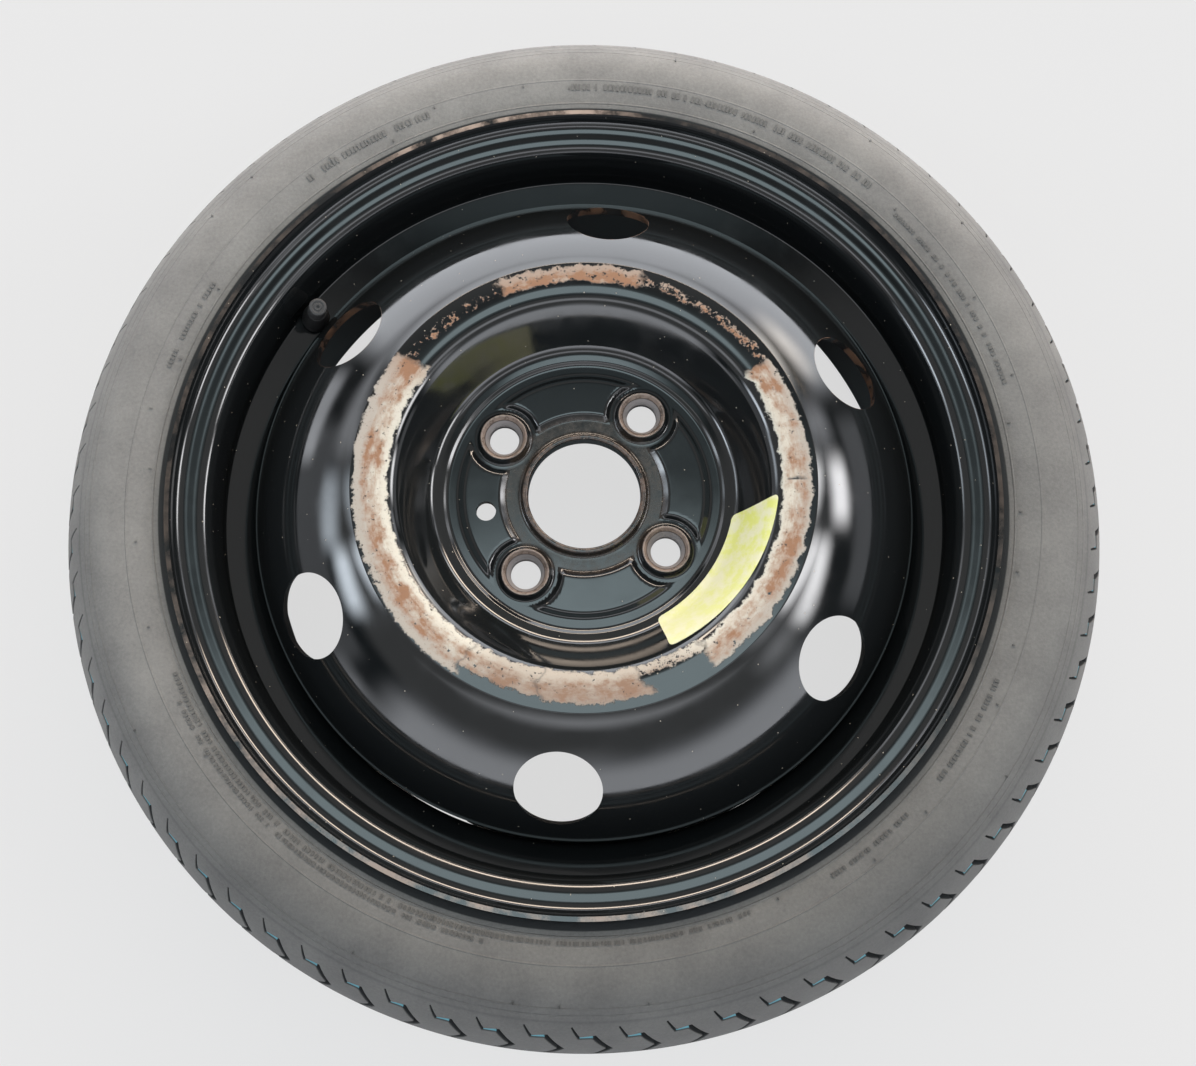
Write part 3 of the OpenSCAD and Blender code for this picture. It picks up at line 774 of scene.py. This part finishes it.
def linear(code):
    """The linear colour of an sRGB hex code."""
    channels = [int(code[k:k + 2], 16) / 255 for k in (1, 3, 5)]
    return tuple(c / 12.92 if c <= 0.04045 else ((c + 0.055) / 1.055) ** 2.4 for c in channels) + (1.0,)


def add(tree, kind, *given, out=0, **settings):
    """Adds a node and returns one of its outputs.

    Each given is an input with its value, or with the output that feeds it.
    """
    node = tree.nodes.new(kind)
    for name, value in settings.items():
        setattr(node, name, value)
    for place, value in given:
        if isinstance(value, bpy.types.NodeSocket):
            tree.links.new(value, node.inputs[place])
        else:
            node.inputs[place].default_value = value
    return node.outputs[out] if len(node.outputs) else node


def calc(tree, operation, *values):
    return add(tree, MATH, *enumerate(values), operation=operation)


def product(tree, *values):
    result = values[0]
    for value in values[1:]:
        result = calc(tree, "MULTIPLY", result, value)
    return result


def ramp(tree, value, low, high, start=0.0, end=1.0, kind="LINEAR"):
    """Goes from start to end as the value goes from low to high, and is level outside them."""
    return add(tree, RANGE, (0, value), (1, low), (2, high), (3, start), (4, end), interpolation_type=kind)


def window(tree, value, low, high, soft):
    """1 between two values and 0 outside them, with soft ends."""
    rise = ramp(tree, value, low - soft, low + soft, kind="SMOOTHSTEP")
    fall = ramp(tree, value, high - soft, high + soft, 1.0, 0.0, "SMOOTHSTEP")
    return product(tree, rise, fall)


def blend(tree, mask, under, over):
    """One colour laid over another where the mask is 1."""
    return add(tree, MIX, (0, mask), (6, under), (7, over), data_type="RGBA", out=2)


def noise(tree, at, size, detail=3.0, roughness=0.5):
    """Noise with features of a size in millimetres."""
    return add(tree, NOISE, ("Vector", at), ("Scale", 1 / size), ("Detail", detail),
               ("Roughness", roughness))


def shift(tree, value, wobble, reach):
    """A value moved by noise, up to about a reach either way."""
    return calc(tree, "MULTIPLY_ADD", calc(tree, "SUBTRACT", wobble, 0.5), 4.0 * reach, value)


def parts_of(tree, vector):
    x = add(tree, "ShaderNodeSeparateXYZ", (0, vector))
    return x, x.node.outputs[1], x.node.outputs[2]


def azimuth_of(tree, x, y):
    return calc(tree, "DEGREES", calc(tree, "ARCTAN2", y, x))


def flat_length(tree, vector):
    flat = add(tree, VECTOR, (0, vector), (1, (1.0, 1.0, 0.0)), operation="MULTIPLY")
    return add(tree, VECTOR, (0, flat), operation="LENGTH", out=1)


def fresh_tree(owner):
    """The emptied node tree of a material or world."""
    owner.use_nodes = True
    owner.node_tree.nodes.clear()
    return owner.node_tree


def started(name):
    """A new material with its node tree, and the shaded point in millimetres and degrees."""
    mat = bpy.data.materials.new(name)
    tree = fresh_tree(mat)
    coords = add(tree, "ShaderNodeTexCoord", out=3)
    at = add(tree, VECTOR, (0, coords), ("Scale", 1 / MM), operation="SCALE")
    x, y, z = parts_of(tree, at)
    angle = calc(tree, "FLOORED_MODULO", azimuth_of(tree, x, y), 360.0)
    return mat, tree, SimpleNamespace(at=at, z=z, r=flat_length(tree, at), angle=angle)


def from_nearest(tree, here, phase, count, centre):
    """The vector from the nearest of a ring of centres, turned into that one's own axes."""
    period = 360 / count
    past = calc(tree, "FLOORED_MODULO", calc(tree, "ADD", here.angle, period / 2 - phase), period)
    past = calc(tree, "SUBTRACT", past, period / 2)
    back = calc(tree, "RADIANS", calc(tree, "SUBTRACT", past, here.angle))
    spun = add(tree, ROTATE, ("Vector", here.at), ("Angle", back), rotation_type="Z_AXIS")
    return add(tree, VECTOR, (0, spun), (1, centre), operation="SUBTRACT")


def closed(mat, tree, colour, roughness, layers=(), height=None, bump=0.0, **values):
    """Ends a material. Layers are (mask, colour, roughness), each laid over the one before."""
    for mask, over, rough in layers:
        colour = blend(tree, mask, colour, over)
        roughness = add(tree, MIX, (0, mask), (2, roughness), (3, rough))
    given = [("Base Color", colour), ("Roughness", roughness)]
    given += [(name.replace("_", " "), value) for name, value in values.items()]
    if height is not None:
        normal = add(tree, "ShaderNodeBump", ("Height", height), ("Distance", bump * MM), ("Strength", 1.0))
        given.append(("Normal", normal))
    surface = add(tree, "ShaderNodeBsdfPrincipled", *given)
    add(tree, "ShaderNodeOutputMaterial", ("Surface", surface))
    return mat


# Materials
ENAMEL = linear("#141617")
ENAMEL_IOR = 1.62
# Corroded stretches of the crest: first angle, last angle, inner radius, outer radius, share left
RUST_BANDS = (
    (-1, 33, 96.7, 110.2, 1.0),
    (304, 361, 96.7, 110.4, 1.0),
    (33, 75, 105.2, 109.2, 0.4),
    (75, 113, 103.2, 111.6, 0.85),
    (113, 145, 104.4, 108.6, 0.25),
    (145, 238, 95.4, 112.4, 1.0),
    (238, 258, 94.6, 107.5, 0.95),
    (258, 286, 93.9, 108.7, 1.0),
    (286, 304, 94.4, 99.6, 0.8))


def enamel_base(tree, here):
    """Gloss black paint as a store leaves it: faint haze, grains of dust and a slightly uneven coat."""
    haze = ramp(tree, noise(tree, here.at, 22, 5, 0.6), 0.35, 0.75, 0.05, 0.16)
    grains = add(tree, "ShaderNodeTexVoronoi", ("Vector", here.at), ("Scale", 1 / 7.0))
    grains = calc(tree, "LESS_THAN", grains, 0.045)
    height = noise(tree, here.at, 30, 2, 0.4)
    return haze, (grains, linear("#8d8578"), 0.6), height


def crust_mask(tree, here, r, flakes):
    """Where the crest is corroded: its bands, with ragged edges, on the front of the sheet only."""
    angle = shift(tree, here.angle, noise(tree, here.at, 16, 4, 0.6), 3.5)
    crust = None
    for first, last, inner, outer, share in RUST_BANDS:
        left = ramp(tree, flakes, 0.62 - 0.28 * share, 0.67 - 0.28 * share)
        round_it, across = window(tree, angle, first, last, 1.2), window(tree, r, inner, outer, 0.6)
        band = product(tree, round_it, across, left)
        crust = band if crust is None else calc(tree, "MAXIMUM", crust, band)
    return product(tree, crust, ramp(tree, here.z, 27.0, 29.0))


def crust_colour(tree, here, r):
    """Cream, with brown patches, brown streaks drawn out along the crest, and dark specks."""
    streaked = add(tree, "ShaderNodeCombineXYZ", (0, here.r), (1, product(tree, here.angle, 0.5)))
    streaks = ramp(tree, noise(tree, streaked, 3.2, 6, 0.65), 0.4, 0.62)
    patches = ramp(tree, noise(tree, here.at, 13, 5, 0.65), 0.4, 0.62)
    brown = calc(tree, "MULTIPLY_ADD", streaks, 0.55, product(tree, patches, 0.85))
    brown = product(tree, window(tree, r, 99.0, 108.0, 2.0), brown)
    far_side = product(tree, window(tree, here.angle, 35, 150, 6), 0.45)
    brown = add(tree, MATH, (0, brown), (1, far_side), operation="ADD", use_clamp=True)
    colour = blend(tree, ramp(tree, here.r, 100.0, 108.0), linear("#c2bdb0"), linear("#a29a90"))
    colour = blend(tree, brown, colour, linear("#8a6449"))
    specks = ramp(tree, noise(tree, here.at, 1.1, 3, 0.7), 0.6, 0.7, 0.0, 0.5)
    colour = blend(tree, specks, colour, linear("#6d5143"))
    near_side = product(tree, window(tree, here.angle, 240, 300, 8), 0.5)
    return blend(tree, near_side, colour, linear("#7d6a5c"))


def cut_edges(tree, here):
    """The cut edges of the vents, bare and brown where the paint has drawn back."""
    tilt = from_nearest(tree, here, VENT_PHASE, 6, (VENT_CIRCLE_R, 0, VENT_Z))
    tilt = add(tree, ROTATE, ("Vector", tilt), ("Angle", -math.radians(VENT_SLOPE)), rotation_type="Y_AXIS")
    tilt = add(tree, VECTOR, (0, tilt), (1, (VENT_OUT, 0.0, 0.0)), operation="SUBTRACT")
    deep = parts_of(tree, tilt)[2]
    vent = calc(tree, "MULTIPLY_ADD", deep, VENT_FLARE, flat_length(tree, tilt))
    return product(tree, window(tree, vent, VENT_R - 0.6, VENT_R + 0.12, 0.06),
                   ramp(tree, noise(tree, here.at, 11, 4, 0.6), 0.42, 0.6),
                   window(tree, here.angle, 10, 165, 6))


def disc_enamel():
    """Black paint on the pressed disc, with a crust of corrosion along the crest, and worn bolt seats whose
    cones carry a painted reflection.
    """
    mat, tree, here = started("black enamel on the disc")
    haze, grains, height = enamel_base(tree, here)
    rough_edge = noise(tree, here.at, 6, 6, 0.7)
    flakes = noise(tree, here.at, 2.6, 6, 0.7)
    r = shift(tree, here.r, rough_edge, 2.3)
    crust = crust_mask(tree, here, r, flakes)
    # A bolt seat's cone is bare, and its pale grey is a painted reflection of the floor; its mouth is
    # rubbed to coppery primer.
    bolt = flat_length(tree, from_nearest(tree, here, BOLT_PHASE, 4, (BOLT_CIRCLE_R, 0, 0)))
    standing = ramp(tree, here.z, 1.0, 3.0)
    cone = product(tree, window(tree, bolt, BOLT_R - 0.3, SEAT_R - 1.5, 0.3), standing)
    rubbed = product(tree, window(tree, bolt, SEAT_R - 1.3, SEAT_R + 0.7, 0.25), standing,
                     ramp(tree, rough_edge, 0.3, 0.6, 0.3, 0.85))
    collar = product(tree, window(tree, here.r, BORE_R - 0.5, COLLAR_R - 0.2, 0.25),
                     ramp(tree, here.z, COLLAR_H - 1.3, COLLAR_H - 0.4),
                     ramp(tree, rough_edge, 0.38, 0.6, 0.0, 0.4))
    dust_and_painted_light = product(tree, window(tree, here.r, COLLAR_R, PAD_R0 + 1.5, 1.2),
                    ramp(tree, noise(tree, here.at, 5, 5, 0.7), 0.35, 0.7, 0.08, 0.5))
    layers = [
        grains,
        (dust_and_painted_light, linear("#4a3c30"), 0.5),
        (cut_edges(tree, here), linear("#6d4f3b"), 0.7),
        (cone, linear("#85807f"), 0.4),
        (rubbed, linear("#8f7d72"), 0.4),
        (collar, linear("#7d6353"), 0.6),
        (crust, crust_colour(tree, here, r), 0.8)]
    height = calc(tree, "MULTIPLY_ADD", product(tree, crust, flakes), 2.5, height)
    return closed(mat, tree, ENAMEL, haze, layers, height, 0.05, IOR=ENAMEL_IOR)


def rim_enamel():
    """Black paint on the rolled rim, worn to pale primer along the edge of its lip."""
    mat, tree, here = started("black enamel on the rim")
    haze, grains, height = enamel_base(tree, here)
    edge = ramp(tree, shift(tree, here.z, noise(tree, here.at, 4, 4, 0.6), 0.35), 16.5, 16.8)
    side = calc(tree, "MAXIMUM", window(tree, here.angle, 85, 120, 8),
                product(tree, window(tree, here.angle, 205, 300, 15), 0.6))
    worn = product(tree, edge, ramp(tree, noise(tree, here.at, 18, 5, 0.65), 0.4, 0.6),
                   ramp(tree, side, 0.0, 1.0, 0.1, 0.7))
    layers = [grains, (worn, linear("#b9a394"), 0.6)]
    return closed(mat, tree, ENAMEL, haze, layers, height, 0.05, IOR=ENAMEL_IOR)


def weld_enamel():
    """Black paint over the ripples of a weld bead."""
    mat, tree, here = started("painted weld")
    ripples = calc(tree, "SINE", product(tree, here.angle, 6.5))
    return closed(mat, tree, linear("#151515"), 0.3, (), ripples, 0.25, IOR=1.5)


def tread_masks(tree, here):
    """Where the tread is, its grooves as a mask of painted shade, and the painted line on one wall of each
    zigzag.
    """
    y = calc(tree, "ADD", here.z, WHEEL_OFFSET)
    square = calc(tree, "MULTIPLY_ADD", product(tree, y, y), -1.0, CROWN_R ** 2)
    crown = calc(tree, "ADD", calc(tree, "POWER", square, 0.5), CROWN_C)
    depth = calc(tree, "SUBTRACT", crown, here.r)
    on_tread = ramp(tree, here.r, EDGE_R - 4, EDGE_R - 3)
    groove_shade = product(tree, on_tread, window(tree, depth, 0.5, 8.0, 0.4))
    past = calc(tree, "FLOORED_MODULO", calc(tree, "SUBTRACT", here.angle, GROOVE_PHASE), PITCH_ANGLE)
    along = calc(tree, "MULTIPLY", past, math.radians(1) * TREAD_R)
    (s0, y0), (s1, y1) = ZIGZAG[1:3]
    slope = (y1 - y0) / (s1 - s0)
    line_y = calc(tree, "MULTIPLY_ADD", along, slope, y0 - s0 * slope)
    off_line = calc(tree, "SUBTRACT", y, line_y)
    paint = product(tree, window(tree, along, s0 + 0.3, s1 - 0.3, 0.3),
                    window(tree, off_line, -GROOVE_W * 0.7, -GROOVE_W * 0.12, 0.1),
                    window(tree, depth, 0.7, 0.7 + PAINT_LINE_W, 0.15))
    return on_tread, groove_shade, paint


def tyre_rubber(name, lift):
    """Grey, dusty moulded rubber, with painted shade in the grooves and next to the flange, and painted
    light and shade round the tyre. Lift lightens it.
    """
    mat, tree, here = started(name)
    on_tread, groove_shade, paint = tread_masks(tree, here)
    dust = noise(tree, here.at, 34, 5, 0.6)
    fine = noise(tree, here.at, 1.6, 4, 0.7)
    tone = calc(tree, "MULTIPLY_ADD", fine, 0.5, product(tree, dust, 0.6))
    grey = blend(tree, ramp(tree, tone, 0.33, 0.78), linear("#5f5e5d"), linear("#807f7c"))
    # Painted light and shade: the rubber is made lighter at the far side and darker at the near side, with
    # more painted shade low on the near side. It is also a little darker on an outer band from the left
    # round the bottom to the right.
    turn = calc(tree, "RADIANS", calc(tree, "SUBTRACT", here.angle, 18.0))
    dust_and_painted_light = calc(tree, "MULTIPLY_ADD", calc(tree, "SINE", turn), 0.23, lift)
    near = product(tree, window(tree, here.angle, 222, 322, 14), ramp(tree, here.r, 218.0, 234.0))
    rubbed = product(tree, window(tree, here.angle, 172, 345, 14), ramp(tree, here.r, 238.0, 246.0))
    for mask, share in ((near, -0.22), (rubbed, -0.14)):
        dust_and_painted_light = product(tree, dust_and_painted_light, calc(tree, "MULTIPLY_ADD", mask, share, 1.0))
    grey = add(tree, VECTOR, (0, grey), ("Scale", dust_and_painted_light), operation="SCALE")
    # Painted shade on the rubber just outside the flange, under its lip.
    flange_shade = window(tree, here.r, 204.0, 211.9, 0.4)
    rings = None
    for radius in MOULD_RINGS:
        ring = window(tree, here.r, radius - 0.35, radius + 0.35, 0.25)
        rings = ring if rings is None else calc(tree, "MAXIMUM", rings, ring)
    off_tread = calc(tree, "SUBTRACT", 1.0, on_tread)
    height = calc(tree, "MULTIPLY_ADD", product(tree, rings, off_tread), 0.3, product(tree, fine, 0.15))
    # The grooves and the band next to the flange are painted shade; the teal line is real paint.
    layers = [(groove_shade, linear("#1b1d1f"), 0.8), (flange_shade, linear("#17181a"), 0.5),
              (paint, linear("#6ba4b2"), 0.6)]
    return closed(mat, tree, grey, 0.66, layers, height, 1.0, IOR=1.45)


def label_film():
    """Bare pale yellow film, a little mottled where the paste beneath has dried."""
    mat, tree, here = started("label film")
    mottle = ramp(tree, noise(tree, here.at, 7, 5, 0.65), 0.4, 0.6)
    upper = ramp(tree, here.angle, 300.0, 350.0, 0.45, 1.0)
    tint = blend(tree, product(tree, mottle, upper), linear("#dad8b6"), linear("#d3d676"))
    return closed(mat, tree, tint, 0.5, (), noise(tree, here.at, 5, 3, 0.5), 0.15)


def plain(name, code, roughness, metallic=0.0, grain=0.0):
    """One even material, with a fine grain if asked for."""
    mat, tree, here = started(name)
    height = noise(tree, here.at, 0.8, 3, 0.6) if grain else None
    return closed(mat, tree, linear(code), roughness, (), height, grain, Metallic=metallic)


# Surroundings, as seen from the wheel: (azimuth, zenith angle, half widths, softness, colour, strength)
TEAL, COOL, WARM = (0.84, 1.04, 1.10), (0.96, 0.99, 1.05), (1.12, 1.0, 0.85)
LIGHTS = (
    (0, 3, 360, 11, 2.5, TEAL, 2.8),
    (0, 17, 360, 4, 2, TEAL, 0.4),
    (0, 43, 360, 19, 3, (1.0, 1.0, 1.0), 0.4),
    (270, 41, 75, 4.5, 3, COOL, 2.0),
    (86, 87, 48, 16, 5, COOL, 4.0),
    (140, 65, 17, 3, 6, COOL, 3.2),
    (150, 87, 9, 5, 3, COOL, 2.6),
    (178, 80, 27, 10, 3, COOL, 0.6),
    (278, 79, 60, 13, 8, COOL, 2.9),
    (270, 62, 8, 1, 8, COOL, 1.4),
    (209, 86, 5, 4, 6, COOL, 2.2),
    (333, 55, 6, 3, 6, COOL, 2.2),
    (10, 83, 20, 7, 3, COOL, 0.7),
    (15, 67.5, 7, 4.8, 4, (1.0, 1.0, 1.02), 13.0),
    (353, 57.5, 11, 4.0, 4, (1.0, 1.0, 1.02), 12.5),
    (31, 65, 4, 4, 6, COOL, 3.5),
    (187, 61, 8, 4.2, 4, (0.9, 1.0, 1.1), 10.0),
    (170, 66.5, 8, 4.5, 4, (0.9, 1.0, 1.1), 5.0),
    (80, 60, 40, 3.5, 3, (1.2, 1.0, 0.82), 15.0),
    (48, 74.5, 6, 4.5, 5, WARM, 4.5))
BACKDROP = linear("#e8e8e8")

# Floor: half its side in metres, its colour, and how far the camera sees the backdrop's colour on it
FLOOR_HALF = 0.75
FLOOR_COLOUR = (0.6, 0.6, 0.61, 1.0)
FLOOR_GLOW = 0.84


def patch(tree, direction, azimuth, zenith, half_az, half_zen, soft, colour, strength):
    """Light from one part of the surroundings."""
    turned_back = add(tree, ROTATE, ("Vector", direction), ("Angle", -math.radians(azimuth)),
                      rotation_type="Z_AXIS")
    x, y, z = parts_of(tree, turned_back)
    down = calc(tree, "DEGREES", calc(tree, "ARCCOSINE", z))
    shape = product(tree, window(tree, azimuth_of(tree, x, y), -half_az, half_az, soft),
                    window(tree, down, zenith - half_zen, zenith + half_zen, soft), strength)
    return add(tree, VECTOR, (0, colour), ("Scale", shape), operation="SCALE")


def make_world():
    world = bpy.data.worlds.new("room")
    bpy.context.scene.world = world
    tree = fresh_tree(world)
    direction = add(tree, "ShaderNodeTexCoord", out=0)
    total = None
    for light in LIGHTS:
        one = patch(tree, direction, *light)
        total = one if total is None else add(tree, VECTOR, (0, total), (1, one), operation="ADD")
    room = add(tree, "ShaderNodeBackground", ("Color", total))
    seen = add(tree, "ShaderNodeBackground", ("Color", BACKDROP))
    camera_ray = add(tree, "ShaderNodeLightPath")
    mixed = add(tree, "ShaderNodeMixShader", (0, camera_ray), (1, room), (2, seen))
    add(tree, "ShaderNodeOutputWorld", ("Surface", mixed))


def make_floor():
    """A pale floor whose shadows are weakened for the camera, as in the photograph."""
    bm = bmesh.new()
    bmesh.ops.create_grid(bm, x_segments=1, y_segments=1, size=FLOOR_HALF)
    mesh = bpy.data.meshes.new("floor")
    bm.to_mesh(mesh)
    bm.free()
    floor = bpy.data.objects.new("floor", mesh)
    bpy.context.collection.objects.link(floor)
    floor.location.z = (MID_Z - RIM_WIDTH / 2 - LIP_REACH) * MM
    mat = bpy.data.materials.new("pale floor")
    tree = fresh_tree(mat)
    lit = add(tree, "ShaderNodeBsdfDiffuse", ("Color", FLOOR_COLOUR))
    glow = add(tree, "ShaderNodeEmission", ("Color", BACKDROP))
    camera_ray = add(tree, "ShaderNodeLightPath")
    share = product(tree, camera_ray, FLOOR_GLOW)
    mixed = add(tree, "ShaderNodeMixShader", (0, share), (1, lit), (2, glow))
    add(tree, "ShaderNodeOutputMaterial", ("Surface", mixed))
    mesh.materials.append(mat)


def make_camera():
    data = bpy.data.cameras.new("camera")
    data.lens, data.sensor_width, data.clip_start = LENS, SENSOR_WIDTH, 0.01
    camera = bpy.data.objects.new("camera", data)
    bpy.context.collection.objects.link(camera)
    turn = Matrix.Rotation(CAMERA_ROLL, 4, "Y") @ Matrix.Rotation(CAMERA_TILT, 4, "X")
    camera.matrix_world = Matrix.Translation(Vector(CAMERA_AT) * MM) @ turn
    scene = bpy.context.scene
    scene.camera = camera
    scene.view_settings.view_transform = "Standard"


make_camera()
make_world()
make_floor()

black_disc, black_rim = disc_enamel(), rim_enamel()
valve_rubber = plain("valve rubber", "#1c1c1d", 0.62, grain=0.05)
brass = plain("brass", "#b8934a", 0.3, 1.0)
rubber = tyre_rubber("tyre rubber", 0.93)
tyre = piece("tyre_moulding", tyre_mesh(), rubber, "wheel", ["tyre"], 40)
# The marks are darker rubber, partly as painted shade for the shadow lines round the raised letters.
tyre.data.materials.append(tyre_rubber("marks on the tyre", 0.62))
piece("rolled_rim", rim_mesh(), black_rim, "wheel", ["rim"])
piece("pressed_disc", disc_mesh(), black_disc, "wheel", ["wheel_disc"])
piece("weld_beads", weld_mesh(), weld_enamel(), "wheel", ["disc_welds"], 50)
piece("bare_label", label_mesh(), label_film(), "wheel", ["label"])
piece("valve_moulding", valve_rubber_mesh(), valve_rubber, "wheel", ["valve_body"])
cap_plastic = plain("cap plastic", "#3a3a3b", 0.55, grain=0.06)
piece("ribbed_cap", valve_cap_mesh(), cap_plastic, "cap", ["valve_cap"])

CAD_FINISHES = {
    "valve_stem": brass,
    "core_plug": brass,
    "core_barrel": brass,
    "core_pin": brass,
    "core_cup": brass,
    "core_gasket": plain("gasket", "#d9d2c2", 0.5),
    "core_seal": valve_rubber,
    "core_spring": plain("spring steel", "#c0c0c4", 0.3, 1.0)}
for name, finish in CAD_FINISHES.items():
    nodes[name].data.materials.clear()
    nodes[name].data.materials.append(finish)
